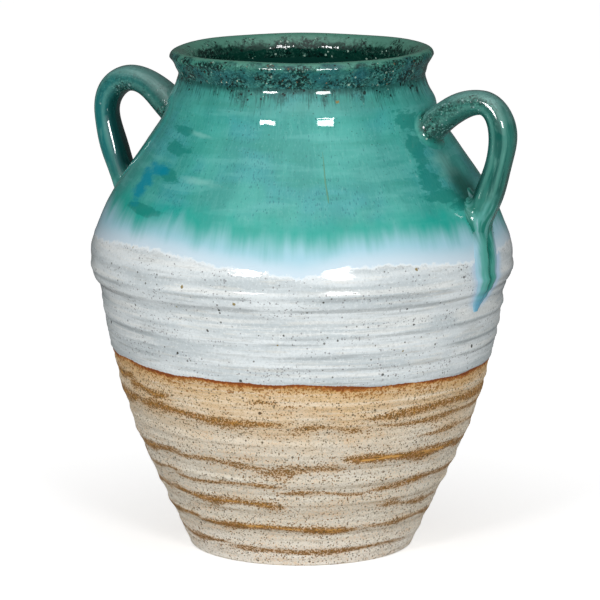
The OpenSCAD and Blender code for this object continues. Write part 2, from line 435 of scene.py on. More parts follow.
# Lip: how far it stands up on the whole and at its high side, where that is, and the waves in it
LIP_LIFT = 0.7
LIP_TILT = 1.3
LIP_HIGH = FRONT + 0.8
LIP_WAVES = ((0.5, 2, 1.2), (0.3, 5, 0.0))
LIFT_WAVES = ((0.3, 3, 0.5), (0.2, 7, 0.0))
# Outside of the lip: rows, ripple, and how much of its flare is straight
LIP_ROWS = 12
LIP_RIPPLE = 0.35
STRAIGHT_FLARE = 0.55


def rim_ring():
    """Flared lip, a little uneven in height as a thrown lip is."""
    crease = wall_r(TURN, np.full(AROUND, NECK_Z))
    lip = LIP_R + waves(LIP_WAVES, TURN)
    lift = LIP_LIFT + LIP_TILT * np.cos(TURN - LIP_HIGH) + waves(LIFT_WAVES, TURN)
    crest = LIP_R - LIP_EDGE
    profile = []
    for t in np.linspace(0, 1, LIP_ROWS + 1):
        z = NECK_Z + (TOP_Z - LIP_EDGE - NECK_Z) * t
        ripple = LIP_RIPPLE * np.sin(8 * t + 2.5 * np.sin(TURN)) * math.sin(math.pi * t)
        flare = STRAIGHT_FLARE * t + (1 - STRAIGHT_FLARE) * t**2
        profile.append((crease + (lip - crease) * flare + ripple, z + lift * t))
    for r, z in arc((crest, TOP_Z - LIP_EDGE), (LIP_EDGE, LIP_EDGE), 8, 90, 9):
        profile.append((r + lip - LIP_R, z + lift))
    top_row = len(profile) - 1
    for r, z in arc((crest, TOP_Z - THROAT_DROP), (crest - THROAT_R, THROAT_DROP), 97, 180, 14):
        share = (z - NECK_Z) / (TOP_Z - NECK_Z)
        profile.append((r + (lip - LIP_R) * share, z + lift * share))
    profile.append((float(smooth_r(NECK_Z)) - WALL, NECK_Z))
    grid = ring_rows(profile)
    piece = make_piece("rim_ring_thrown", grid, wrap_rows=True)
    along = walked(grid).mean(axis=1)
    paint(piece, lip=np.repeat(along - along[top_row], AROUND))
    return piece


def bezier(points, t):
    """Points on a cubic curve in the plane of a loop."""
    p = np.asarray(points, float)
    t = np.asarray(t)[:, None]
    return p[0] * (1 - t) ** 3 + p[1] * 3 * t * (1 - t) ** 2 + p[2] * 3 * t**2 * (1 - t) + p[3] * t**3


def heading(degrees):
    """Direction in the plane of a loop, in degrees above level."""
    return np.array([math.cos(math.radians(degrees)), math.sin(math.radians(degrees))])


# How far a handle's middle line runs on inside the wall
ROOT_DEPTH = 16.0
# How far a handle's curves pull towards their ends, as shares of the stretch that each one spans
RISE_PULL = 0.34
TURN_PULL = 0.56
FALL_PULL = 0.24
CURVE_STEPS = 40
STRAP_STEPS = 240
UPPER_ROOT = np.array([float(smooth_r(UPPER_ROOT_Z)), UPPER_ROOT_Z])
LOWER_ROOT = np.array([float(smooth_r(LOWER_ROOT_Z)), LOWER_ROOT_Z])
# The left handle was pulled a little tighter over the crown and wider at the elbow
LEFT_CROWN_IN = 3.5
LEFT_ELBOW_OUT = 1.5


def strap_line(side):
    """Middle line of a handle, radius and height, from inside the wall to inside the wall."""
    left = side < 0
    crown = UPPER_ROOT + (CROWN_OUT - LEFT_CROWN_IN * left, CROWN_UP)
    elbow = np.array([ELBOW_R + LEFT_ELBOW_OUT * left, crown[1] - ELBOW_DROP])
    leave, arrive = heading(UPPER_ROOT_LIFT), heading(-90 - LOWER_ROOT_LEAN)
    rise = np.linalg.norm(crown - UPPER_ROOT) * RISE_PULL
    turn = (elbow - crown) * TURN_PULL
    fall = np.linalg.norm(elbow - LOWER_ROOT) * FALL_PULL
    t = np.linspace(0, 1, CURVE_STEPS, endpoint=False)
    path = [UPPER_ROOT - leave * ROOT_DEPTH]
    path += list(bezier([UPPER_ROOT, UPPER_ROOT + leave * rise, crown - (rise, 0), crown], t))
    path += list(bezier([crown, crown + (turn[0], 0), elbow - (0, turn[1]), elbow], t))
    path += list(bezier([elbow, elbow - (0, fall), LOWER_ROOT - arrive * fall, LOWER_ROOT], t))
    path += [LOWER_ROOT, LOWER_ROOT + arrive * ROOT_DEPTH]
    path = np.array(path)
    length = walked(path)
    even = np.linspace(0, length[-1], STRAP_STEPS)
    return np.stack([np.interp(even, length, path[:, k]) for k in (0, 1)], axis=1)


# Strap: points round it, rows along it, length of its pattern, and how square its oval is (1 for an ellipse)
STRAP_SIDES = 72
STRAP_ROWS = 150
STRAP_LENGTH = 190.0
STRAP_SQUARE = 0.88
# Flare at the upper root: how much wider the strap gets, and the share of its length
ROOT_FLARE = 0.3
ROOT_FLARE_REACH = 0.16
# How the strap changes along it, in shares: thinner, narrower midway, wider at the end
THINNER = 0.05
WAIST = 0.04
WIDER = 0.08
# Ridges and the groove along the outer face: angles from its middle, half widths in radians, relief
RIDGES_AT = (1.0, 1.8, -0.95)
RIDGE_WIDE = 0.24
RIDGE_T = 0.22
GROOVE_AT = -0.25
GROOVE_WIDE = 0.33
GROOVE_T = 0.6
# How deep they are along the strap
PULL_AT = (0.0, 0.35, 0.75, 1.0)
PULL = (0.2, 0.5, 1.3, 1.9)


def outer_ridges(around):
    """Ridges that the fingers left along the outer face of a strap, from 0 to 1."""
    return sum(bell(around - math.pi - at, RIDGE_WIDE) for at in RIDGES_AT)


def strap_points(side):
    """Pulled strap before trimming: (steps along, points round, xyz). side is 1 on +X and -1 on -X."""
    line = strap_line(side)
    ahead = unit(np.gradient(line, axis=0))
    out = np.stack([-ahead[:, 1], ahead[:, 0]], axis=1)
    s = np.linspace(0, 1, len(line))
    round_by = np.linspace(0, 2 * math.pi, STRAP_SIDES, endpoint=False)
    cos, sin = np.cos(round_by), np.sin(round_by)
    a = np.sign(cos) * np.abs(cos) ** STRAP_SQUARE
    b = np.sign(sin) * np.abs(sin) ** STRAP_SQUARE
    swell = 1 + waves(((0.035, 9, side), (0.045, 23, 2 * side)), s)
    flared = swell + ROOT_FLARE * bell(s, ROOT_FLARE_REACH)
    half_t = STRAP_T / 2 * (flared - THINNER * s)
    half_w = STRAP_W / 2 * (flared - WAIST * np.sin(math.pi * s) + WIDER * s)
    pull = np.interp(s, PULL_AT, PULL)
    groove = bell(round_by - math.pi - GROOVE_AT * side, GROOVE_WIDE)
    depth = pull[:, None] * (RIDGE_T * outer_ridges(round_by) - GROOVE_T * groove)[None, :]
    t_off = half_t[:, None] * a + depth * cos
    w_off = half_w[:, None] * b + depth * sin
    plane = line[:, None, :] - out[:, None, :] * t_off[:, :, None]
    return np.stack([side * plane[:, :, 0], w_off, plane[:, :, 1]], axis=2)


def wall_beside(points):
    """Angle round the vase of points, and the wall's radius there."""
    turn = np.arctan2(points[..., 1], points[..., 0])
    return turn, wall_r(turn, points[..., 2])


def above_wall(points):
    """Distance of points outside the wall, measured level, in millimetres."""
    return np.hypot(points[..., 0], points[..., 1]) - wall_beside(points)[1]


def on_wall(points):
    """The same points moved level onto the wall."""
    turn, r = wall_beside(points)
    return polar(r, turn, points[..., 2])


# How far a trimmed strap goes into the wall
SEAT_DEPTH = 0.8


def trimmed_strap(side):
    """Strap whose lines run from just under the wall to just under the wall."""
    points = strap_points(side)
    gap = above_wall(points) + SEAT_DEPTH
    steps = np.arange(len(points))
    grid = np.empty((STRAP_ROWS, STRAP_SIDES, 3))
    for k in range(STRAP_SIDES):
        outside = np.where(gap[:, k] > 0)[0]
        first, last = outside[0], outside[-1]
        start = first - gap[first, k] / (gap[first, k] - gap[first - 1, k])
        end = last + gap[last, k] / (gap[last, k] - gap[last + 1, k])
        at = np.linspace(start, end, STRAP_ROWS)
        for axis in range(3):
            grid[:, k, axis] = np.interp(at, steps, points[:, k, axis])
    return grid


def handle(name, side):
    """Pulled handle, trimmed to the wall."""
    grid = trimmed_strap(side)
    piece = make_piece(name, grid)
    along, around = np.meshgrid(np.linspace(0, 1, STRAP_ROWS), np.arange(STRAP_SIDES), indexing="ij")
    around = around.ravel() * 2 * math.pi / STRAP_SIDES
    inner, beside = np.cos(around), np.sin(around)
    length = STRAP_LENGTH * along.ravel()
    paint(
        piece,
        along=along.ravel(),
        inner=inner,
        ridge=outer_ridges(around),
        strap=np.stack([STRAP_T / 2 * inner, STRAP_W / 2 * beside, length], axis=1) * MM,
    )
    return piece, grid


# Luting coils: how far each climbs the strap and spreads on the wall, and how far it is seated in both
UPPER_COIL = (6.0, 5.0)
LOWER_COIL = (11.0, 7.0)
COIL_SEAT = 0.6
COIL_STEPS = 10


def luting_coil(name, lines, height, width):
    """Coil of clay pressed round a root. lines start at the wall and run up the strap."""
    root = lines[0]
    up = walked(lines)
    climb = np.array([lines[np.searchsorted(up[:, k], height)][k] for k in range(lines.shape[1])])
    middle = root.mean(axis=0)
    outward = unit(root - middle)
    spread = on_wall(root + outward * width)
    near_strap, near_wall = (climb + root) / 2, (spread + root) / 2
    grid = []
    for t in np.linspace(0, 1, COIL_STEPS + 1):
        pulled = 3 * t * (1 - t) * (near_strap * (1 - t) + near_wall * t)
        grid.append(climb * (1 - t) ** 3 + spread * t**3 + pulled)
    inward = -unit(middle * (1, 1, 0))
    grid += [spread + inward * COIL_SEAT, root + inward * COIL_SEAT, climb - outward * COIL_SEAT]
    piece = make_piece(name, np.array(grid), wrap_rows=True, sharp=60.0)
    up_strap = np.concatenate([np.linspace(1, 0, COIL_STEPS + 1), (0, 0, 1)])
    paint(piece, up_strap=np.repeat(up_strap, lines.shape[1]))
    return piece


# Runs of glaze: height, left and right edge as angles from the camera's side, thickness
RIGHT_RUN = (
    (298.0, 64.5, 67.0, 1.0), (291.0, 62.0, 70.0, 3.0), (283.0, 60.2, 71.0, 4.0), (275.0, 58.0, 70.0, 4.2),
    (267.0, 56.0, 69.0, 3.5), (259.0, 54.6, 67.6, 2.7), (252.0, 53.4, 66.4, 2.2), (240.0, 53.0, 65.2, 2.0),
    (228.0, 54.2, 64.4, 2.0), (218.0, 55.0, 63.2, 1.9), (211.0, 55.6, 61.2, 1.7), (204.5, 56.4, 58.8, 1.1),
)
FRONT_DRIP = (
    (335.0, 7.9, 8.1, 0.15), (326.0, 7.8, 8.3, 0.35), (314.0, 7.7, 8.3, 0.4),
    (303.0, 8.1, 8.7, 0.5), (299.0, 8.3, 8.6, 0.3),
)
RUN_ROWS = 90
RUN_SIDES = 30
# Millimetres that a run's edges hang lower per degree of half width, and how deep both faces are set in
RUN_SAG = 1 / 3
RUN_SINK = 0.12
RUN_SEAT = 0.7
# Cleft between two streams: place and half width as shares of half the run, share of its thickness, heights
RUN_PARTING = 0.16
CLEFT_WIDE = 0.15
CLEFT_SHARE = 0.55
CLEFT_HEIGHTS = (206.0, 226.0, 262.0, 276.0)


def run_at(points, z):
    """Middle angle and half width of a run at a height, both in degrees."""
    height, left, right, _ = np.array(points)[::-1].T
    left, right = np.interp(z, height, left), np.interp(z, height, right)
    return (left + right) / 2, (right - left) / 2


def glaze_run(name, points, parted):
    """Run of glaze down the wall, parted into two streams if asked."""
    table = np.array(points)
    s = np.linspace(0, len(table) - 1, RUN_ROWS)
    heights, depths = [np.interp(s, np.arange(len(table)), table[:, k]) for k in (0, 3)]
    across = np.linspace(-1, 1, RUN_SIDES)
    grid = []
    for z, thick in zip(heights, depths):
        angle, half = run_at(points, z)
        turn = FRONT + np.radians(angle + half * across)
        level = z - RUN_SAG * across**2 * half
        dome = (1 - across**2) * thick
        cleft = CLEFT_SHARE * thick * bell(across - RUN_PARTING, CLEFT_WIDE)
        cleft *= np.interp(z, CLEFT_HEIGHTS, (0, 1, 1, 0)) if parted else 0.0
        r = wall_r(turn, level)
        outer = polar(r + dome - cleft - RUN_SINK, turn, level)
        inner = polar(r - RUN_SEAT, turn, level)
        grid.append(np.concatenate([outer, inner[::-1]]))
    piece = make_piece(name, np.array(grid), sharp=70.0)
    paint(piece, across=np.tile(np.concatenate([across, across[::-1]]), RUN_ROWS))
    return piece


def srgb(red, green, blue):
    """Screen colour from 0 to 255 as the linear colour that a shader takes."""
    parts = [c / 255.0 for c in (red, green, blue)]
    return tuple(c / 12.92 if c <= 0.04045 else ((c + 0.055) / 1.055) ** 2.4 for c in parts) + (1.0,)


class Nodes:
    """A node tree, with short calls for the nodes that the glazes, the floor and the sky need."""

    def __init__(self, tree):
        self.tree = tree

    def feed(self, socket, value):
        """Links a socket to the output of a node, or sets it."""
        if isinstance(value, bpy.types.NodeSocket):
            self.tree.links.new(value, socket)
        else:
            socket.default_value = value

    def node(self, kind, inputs, **settings):
        """Node with its inputs set or linked, by number or name."""
        made = self.tree.nodes.new(kind)
        for name, value in settings.items():
            setattr(made, name, value)
        for key, value in inputs.items():
            self.feed(made.inputs[key], value)
        return made

    def math(self, kind, a, b=0.0):
        """One sum on two numbers."""
        return self.node("ShaderNodeMath", {0: a, 1: b}, operation=kind).outputs[0]

    def times(self, *values):
        """Product of numbers."""
        total = values[0]
        for value in values[1:]:
            total = self.math("MULTIPLY", total, value)
        return total

    def ramp(self, value, start, end, low, high, kind="LINEAR"):
        """From low to high as value goes from start to end."""
        given = {0: value, 1: start, 2: end, 3: low, 4: high}
        return self.node("ShaderNodeMapRange", given, interpolation_type=kind).outputs[0]

    def smooth(self, value, low, high, top=1.0):
        """0 at low, top at high, with soft ends."""
        return self.ramp(value, low, high, 0.0, top, "SMOOTHSTEP")


# Radius, in metres, of the circle that patterns down the wall are drawn on
PATTERN_R = 0.14
# Specks reach from this share of their size to one size more, and this share of it is a soft edge
LEAST_SPECK = 0.4
SOFT_SPECK = 0.3


class Finish(Nodes):
    """A material with one shader, and short calls for its patterns."""

    def __init__(self, name):
        self.material = bpy.data.materials.new(name)
        self.material.use_nodes = True
        super().__init__(self.material.node_tree)
        self.tree.nodes.clear()
        self.shader = self.node("ShaderNodeBsdfPrincipled", {})
        self.node("ShaderNodeOutputMaterial", {"Surface": self.shader.outputs["BSDF"]})
        self.place = self.node("ShaderNodeTexCoord", {}).outputs["Object"]
        parts = self.node("ShaderNodeSeparateXYZ", {0: self.place})
        self.height = self.math("MULTIPLY", parts.outputs[2], 1 / MM)

    def mix(self, share, first, second):
        """Colour that goes from first to second as share goes from 0 to 1."""
        made = self.node("ShaderNodeMix", {0: share, 6: first, 7: second}, data_type="RGBA")
        return made.outputs[2]

    def washes(self, colour, *kinds):
        """Colour under washes: a value, where it starts and where it is full, strength, tint."""
        for value, start, full, strength, tint in kinds:
            colour = self.mix(self.smooth(value, start, full, strength), colour, srgb(*tint))
        return colour

    def speckled(self, colour, *kinds):
        """Colour under specks: cell and size in millimetres, share of the cells, strength, tint."""
        for cell, size, share, strength, tint in kinds:
            colour = self.mix(self.times(self.specks(cell, size, share), strength), colour, srgb(*tint))
        return colour

    def value(self, name):
        """A number that the mesh carries at each vertex."""
        return self.node("ShaderNodeAttribute", {}, attribute_name=name).outputs["Fac"]

    def drawn_out(self, vector, shares):
        """Places drawn out along axes: a share of 1/8 makes patterns 8 times longer."""
        return self.node("ShaderNodeVectorMath", {0: vector, 1: shares}, operation="MULTIPLY").outputs[0]

    def along_rings(self, stretch):
        """Places drawn out so many times round the vase."""
        return self.drawn_out(self.place, (1 / stretch, 1 / stretch, 1.0))

    def along_strap(self, stretch):
        """Places on a handle drawn out so many times along it."""
        strap = self.node("ShaderNodeAttribute", {}, attribute_name="strap").outputs["Vector"]
        return self.drawn_out(strap, (1.0, 1.0, 1 / stretch))

    def down_wall(self, stretch):
        """Places drawn out so many times down the wall, on one radius so that streaks stay upright."""
        flat = self.drawn_out(self.place, (1.0, 1.0, 0.0))
        level = self.node("ShaderNodeVectorMath", {0: flat}, operation="NORMALIZE").outputs[0]
        circle = self.drawn_out(level, (PATTERN_R, PATTERN_R, 0.0))
        rise = self.node("ShaderNodeCombineXYZ", {2: self.times(self.height, MM / stretch)}).outputs[0]
        return self.node("ShaderNodeVectorMath", {0: circle, 1: rise}, operation="ADD").outputs[0]

    def noise(self, vector, size, detail=2.0, rough=0.5):
        """Cloudy noise from 0 to 1 with features of that size in millimetres."""
        given = {"Vector": vector, "Scale": 1 / (size * MM), "Detail": detail, "Roughness": rough}
        return self.node("ShaderNodeTexNoise", given).outputs[0]

    def specks(self, cell, size, share, vector=None):
        """Specks of about that size in cells of that size, in millimetres, in a share of the cells."""
        given = {"Vector": vector or self.place, "Scale": 1 / (cell * MM)}
        cells = self.node("ShaderNodeTexVoronoi", given)
        picks = self.node("ShaderNodeSeparateColor", {0: cells.outputs["Color"]})
        reach = self.times(self.math("ADD", picks.outputs[1], LEAST_SPECK), size / cell)
        inside = self.math("SUBTRACT", reach, cells.outputs["Distance"])
        spot = self.smooth(inside, 0.0, SOFT_SPECK * size / cell)
        return self.times(spot, self.math("LESS_THAN", picks.outputs[0], share))

    def shift(self, value, noise, amount):
        """value moved up or down by noise, amount from end to end."""
        return self.math("ADD", value, self.times(self.math("SUBTRACT", noise, 0.5), amount))

    def bump(self, height, depth):
        """Relief of that depth in millimetres."""
        given = {"Height": height, "Distance": depth * MM, "Strength": 1.0}
        self.set(Normal=self.node("ShaderNodeBump", given).outputs[0])

    def set(self, **values):
        """Sets or links the shader's own sockets."""
        for name, value in values.items():
            self.feed(self.shader.inputs[name.replace("_", " ")], value)


# Heights between which one colour goes over into the next
PALE_FOOT_Z = (40.0, 5.0)
PEPPER_Z = (280.0, 350.0)
HOLLOW_Z = (372.0, 330.0)
TAIL_Z = (299.0, 281.0)
ROOT_FLECKS_Z = (320.0, 340.0)
RUN_TIP_Z = (226.0, 208.0)
RUN_TOP_Z = (254.0, 272.0)


def rusted(f, colour, grain):
    """Colour under rust: a golden stain, grainy brown streaks, stipple round them and painted highlights in
    pale gold.
    """
    amount = f.value("rust")
    patchy = f.shift(amount, f.noise(f.along_rings(5.0), 7.0, 3.0), 1.1)
    colour = f.washes(colour, (f.shift(patchy, grain, 2.2), 0.02, 0.36, 0.45, (204, 156, 86)))
    tone = f.smooth(f.noise(f.along_rings(3.0), 2.6), 0.46, 0.7)
    brown = f.mix(tone, srgb(152, 94, 4), srgb(206, 146, 40))
    solid = f.smooth(f.shift(patchy, f.noise(f.place, 2.0, 3.0, 0.75), 3.0), 0.55, 0.8, 0.8)
    colour = f.mix(solid, colour, brown)
    skirt = f.times(f.math("POWER", amount, 0.2), 0.26)
    rings = f.smooth(f.noise(f.along_rings(7.0), 8.0, 3.0), 0.48, 0.64)
    share = f.math("ADD", f.math("ADD", f.smooth(patchy, 0.1, 0.5), skirt), f.times(rings, 0.1))
    colour = f.speckled(colour, (1.15, 0.95, share, 0.9, (124, 84, 16)))
    # Painted highlights in pale gold in the cores of the strongest streaks
    glints = f.smooth(f.noise(f.along_rings(9.0), 2.3), 0.49, 0.58)
    return f.mix(f.times(f.smooth(patchy, 0.75, 1.05), glints, 0.85), colour, srgb(212, 160, 84))


def burnt_edge(f, colour, below):
    """Colour toasted golden below the white glaze, with a burnt line right under it."""
    edge = f.shift(below, f.noise(f.along_rings(3.0), 12.0, 3.0), 9.0)
    edge = f.shift(edge, f.noise(f.place, 2.2, 3.0), 7.0)
    toast = f.smooth(edge, -14.0, -2.0)
    colour = f.mix(f.times(toast, 0.5), colour, srgb(198, 148, 70))
    colour = f.washes(colour, (edge, -4.2, -2.4, 0.85, (176, 102, 12)))
    colour = f.speckled(colour, (1.6, 1.2, f.times(toast, 0.6), 0.85, (146, 96, 30)))
    return f.washes(colour, (edge, -2.4, -1.2, 0.9, (130, 60, 2)))


def bare_clay(f):
    """Sandy clay: grain, brown specks, rust along the ridges and a burnt edge under the glaze, with painted
    shade and light by the tilt of the finger marks.
    """
    below = f.value("above_glaze")
    lines = f.noise(f.along_rings(12.0), 3.0, 3.0)
    grain = f.noise(f.place, 1.7, 3.0, 0.75)
    tan = f.smooth(f.shift(f.shift(below, f.noise(f.place, 30.0), 50.0), lines, 40.0), -70.0, 0.0)
    tilt = f.shift(f.value("tilt"), lines, 0.8)
    # Paler toward the foot: the clay's own colour, with painted light for the bounce from the floor
    sandy = f.mix(f.smooth(f.height, *PALE_FOOT_Z), srgb(213, 206, 191), srgb(238, 233, 223))
    colour = f.washes(
        f.mix(tan, sandy, srgb(216, 184, 138)),
        # Painted shade where the finger marks tilt down, painted light where they tilt up
        (tilt, 0.06, 0.3, 0.4, (156, 138, 108)),
        (tilt, -0.06, -0.3, 0.4, (240, 232, 214)),
        (lines, 0.52, 0.68, 0.45, (238, 233, 220)),
        (lines, 0.46, 0.3, 0.4, (178, 166, 144)),
        (grain, 0.54, 0.62, 0.54, (248, 240, 226)),
        (grain, 0.46, 0.38, 0.56, (156, 130, 90)),
    )
    colour = f.speckled(
        rusted(f, colour, grain),
        (1.25, 0.62, 0.2, 0.85, (98, 84, 52)),
        (2.6, 0.8, 0.13, 0.85, (80, 68, 42)),
        (7.0, 1.1, 0.12, 0.9, (74, 56, 32)),
    )
    return burnt_edge(f, colour, below), grain, lines


def white_glaze(f):
    """Milky glaze over speckled clay, thin and grey along the finger marks, with painted shade where the marks
    tilt down and painted light where they tilt up.
    """
    bands = f.noise(f.along_rings(9.0), 9.0, 3.0)
    lines = f.noise(f.along_rings(12.0), 3.6, 3.0, 0.6)
    fine = f.noise(f.place, 2.1, 3.0, 0.75)
    fade = f.math("ADD", f.smooth(f.noise(f.place, 70.0), 0.4, 0.6, 0.85), 0.35)
    tilt = f.shift(f.times(f.value("tilt"), fade), lines, 0.9)
    colour = f.washes(
        f.mix(f.smooth(bands, 0.36, 0.64), srgb(190, 199, 202), srgb(217, 224, 226)),
        # Painted shade where the finger marks tilt down, painted light where they tilt up
        (tilt, 0.06, 0.34, 0.5, (148, 155, 157)),
        (tilt, -0.06, -0.3, 0.35, (238, 236, 229)),
        (lines, 0.56, 0.68, 0.3, (232, 228, 217)),
        (lines, 0.43, 0.32, 0.32, (160, 166, 166)),
        (fine, 0.55, 0.64, 0.3, (164, 168, 167)),
        (fine, 0.45, 0.36, 0.34, (242, 245, 244)),
    )
    sandy = f.smooth(f.noise(f.along_rings(5.0), 11.0, 4.0, 0.65), 0.48, 0.66)
    gather = f.smooth(f.noise(f.along_rings(2.0), 24.0, 3.0), 0.5, 0.62)
    few = f.math("ADD", f.times(gather, 0.15), 0.01)
    colour = f.speckled(
        colour,
        (1.45, 0.7, f.math("ADD", f.times(sandy, 0.4), 0.02), 0.7, (122, 122, 124)),
        (3.0, 0.8, few, 0.8, (82, 82, 74)),
        (6.0, 1.3, few, 0.9, (50, 50, 42)),
        (26.0, 1.4, 0.3, 0.9, (130, 114, 44)),
    )
    return colour, fine, lines


# Flecks in the dark glaze: cell, size, share of the cells, colour
DARK_FLECKS = (
    (2.2, 1.05, 0.5, (5, 20, 18)),
    (3.6, 1.5, 0.25, (7, 27, 24)),
    (2.4, 0.9, 0.12, (156, 186, 172)),
)
HANDLE_FLECKS = (
    (1.9, 0.85, 0.35, (6, 28, 26)),
    (1.9, 0.8, 0.25, (128, 168, 164)),
)
RUSTY_FLECKS = (
    (2.0, 0.75, 0.1, (98, 78, 56)),
    (2.8, 0.75, 0.05, (132, 100, 64)),
    (2.6, 0.75, 0.05, (204, 210, 188)),
)


def flecks(f, colour, share, kinds, pale=0.4):
    """Dark and pale mottling with flecks of those kinds, gathered in clusters, in a share from 0 to 1."""
    clusters = f.smooth(f.noise(f.place, 20.0, 4.0, 0.65), 0.42, 0.6)
    gathered = f.times(share, f.math("ADD", f.times(clusters, 0.8), 0.2))
    for size, dark in ((3.0, 0.75), (1.6, 0.9)):
        mottle = f.noise(f.place, size, 3.0, 0.75)
        colour = f.mix(f.times(f.smooth(mottle, 0.51, 0.45), gathered, dark), colour, srgb(9, 38, 34))
        colour = f.mix(f.times(f.smooth(mottle, 0.57, 0.65), gathered, pale), colour, srgb(116, 168, 152))
    for cell, size, count, tint in kinds:
        colour = f.mix(f.times(f.specks(cell, size, f.times(gathered, count)), 0.9), colour, srgb(*tint))
    return colour


def patched(f, colour):
    """Colour with painted reflections: pale, dark and blue patches, ragged at the edge. Under the dark and
    blue ones the glaze mirrors less.
    """
    ragged = f.noise(f.along_rings(3.0), 6.0, 4.0, 0.65)
    pale = f.smooth(f.shift(f.value("pale_patch"), ragged, 1.4), -0.1, 0.9, 0.5)
    dark = f.smooth(f.shift(f.value("dark_patch"), ragged, 1.6), 0.3, 0.5, 0.7)
    blue = f.smooth(f.shift(f.value("blue_patch"), ragged, 1.8), 0.1, 0.75, 0.85)
    f.set(Specular_IOR_Level=f.math("SUBTRACT", 0.5, f.times(f.math("MAXIMUM", dark, blue), 0.5)))
    for share, tint in ((pale, (134, 196, 188)), (dark, (24, 122, 112)), (blue, (5, 128, 150))):
        colour = f.mix(share, colour, srgb(*tint))
    return colour


def turquoise(f):
    """Running turquoise: cloudy and finely grained, deeper green along its lower edge."""
    cloud = f.noise(f.down_wall(1.6), 30.0, 3.0)
    streaks = f.noise(f.down_wall(5.0), 3.0, 3.0, 0.6)
    grain = f.noise(f.down_wall(1.6), 2.0, 3.0, 0.7)
    bands = f.noise(f.along_rings(8.0), 9.0)
    bluer = f.smooth(f.noise(f.place, 46.0), 0.48, 0.64)
    colour = f.mix(f.smooth(cloud, 0.36, 0.66), srgb(58, 150, 142), srgb(73, 167, 157))
    colour = f.washes(
        f.mix(f.times(bluer, 0.36), colour, srgb(70, 156, 170)),
        (streaks, 0.52, 0.72, 0.14, (118, 190, 184)),
        (streaks, 0.46, 0.3, 0.16, (38, 124, 118)),
        (bands, 0.52, 0.66, 0.4, (46, 144, 130)),
        (bands, 0.48, 0.36, 0.3, (104, 184, 178)),
        (grain, 0.55, 0.7, 0.16, (132, 198, 190)),
        (grain, 0.45, 0.32, 0.22, (32, 112, 110)),
    )
    dotted = f.math("ADD", f.times(bluer, 0.45), 0.04)
    stipple = f.times(f.specks(1.25, 0.55, dotted, f.down_wall(1.8)), 0.4)
    colour = f.mix(stipple, colour, srgb(26, 98, 110))
    deep = f.shift(f.value("above_green"), f.noise(f.down_wall(1.0), 14.0), 30.0)
    # Painted reflections on the shoulder, over the deeper green along its lower edge
    colour = patched(f, f.washes(colour, (deep, 24.0, 2.0, 0.8, (28, 160, 146))))
    # Painted shade on the wall inside each handle
    pooled = f.shift(f.value("pooled"), streaks, 0.4)
    colour = f.washes(colour, (pooled, 0.1, 1.1, 0.8, (12, 64, 52)))
    return f.speckled(colour, (2.6, 0.55, 0.35, f.smooth(f.height, *PEPPER_Z, 0.5), (24, 80, 78)))


def neck_streaks(f, colour):
    """Colour under dark glaze that ran down from under the lip in thin streaks, with painted shade in the
    crease under the lip.
    """
    drop = f.math("SUBTRACT", NECK_Z, f.height)
    fine = f.noise(f.down_wall(9.0), 1.9, 3.0, 0.7)
    broad = f.noise(f.down_wall(2.5), 11.0)
    colour = f.washes(
        colour,
        (f.shift(drop, broad, 24.0), 30.0, 2.0, 0.3, (66, 116, 106)),
        (f.shift(f.shift(drop, fine, -64.0), broad, -34.0), 11.0, -2.0, 0.7, (28, 80, 76)),
        # Darker right under the lip: dark glaze, with painted shade in the crease
        (f.shift(drop, broad, 8.0), 5.0, 0.5, 0.7, (26, 74, 70)),
    )
    return flecks(f, colour, f.smooth(f.shift(drop, broad, -40.0), 11.0, 0.0, 0.6), DARK_FLECKS)


def inside_glaze(f, colour):
    """The same colour on the outside, and green in the hollow, with painted shade that is darkest under the
    lip.
    """
    hollow = f.mix(f.smooth(f.height, *HOLLOW_Z), srgb(14, 56, 48), srgb(40, 116, 102))
    return f.mix(f.smooth(f.value("inside"), 0.4, 0.7), colour, hollow)


# Roughness of the bare clay and of the white glaze
CLAY_ROUGH, GLAZE_ROUGH = 0.9, 0.24


def stoneware():
    """Lower section: bare sandy clay below, white glaze above."""
    f = Finish("stoneware")
    clay, grain, brushed = bare_clay(f)
    glaze, fine, lines = white_glaze(f)
    above = f.shift(f.value("above_glaze"), f.noise(f.place, 2.4, 3.0), 2.0)
    glazed = f.smooth(above, -0.3, 0.3)
    f.set(Base_Color=inside_glaze(f, f.mix(glazed, clay, glaze)))
    rough = f.ramp(glazed, 0.0, 1.0, CLAY_ROUGH, GLAZE_ROUGH)
    f.set(Roughness=f.shift(rough, fine, 0.12))
    clay_relief = f.math("ADD", f.times(grain, 0.8), f.times(brushed, 0.5))
    glaze_relief = f.math("ADD", f.times(fine, 0.25), f.times(lines, 0.8))
    f.bump(f.mix(glazed, clay_relief, glaze_relief), 1.1)
    return f.material


# Specks of iron that burnt through the glaze: angle from the camera's side, height
OCHRE_SPECKS = ((16.0, 371.0), (32.0, 248.0), (-33.0, 234.0), (-18.0, 224.0), (118.0, 240.0), (-150.0, 262.0))
# Their outline: where it fades out and is full, and how ragged it is
OCHRE_REACH = (1.5 * MM, 0.9 * MM)
OCHRE_RAGGED = 2.4 * MM


def wall_point(angle, z):
    """Place on the outside of the wall, in metres."""
    turn = FRONT + math.radians(angle)
    return (polar(wall_r(turn, z), turn, z) * MM).tolist()


def ochre_specks(f, colour):
    """Colour with the specks of iron in it."""
    for place in OCHRE_SPECKS:
        away = f.node("ShaderNodeVectorMath", {0: f.place, 1: wall_point(*place)}, operation="DISTANCE")
        ragged = f.shift(away.outputs["Value"], f.noise(f.place, 2.0), OCHRE_RAGGED)
        colour = f.washes(colour, (ragged, *OCHRE_REACH, 0.9, (132, 112, 48)))
    return colour


# How the green runs down in fingers: drawn out, width, reach
GREEN_FINGERS = ((3.0, 24.0, 28.0), (7.0, 7.0, 12.0), (12.0, 2.4, 4.0))


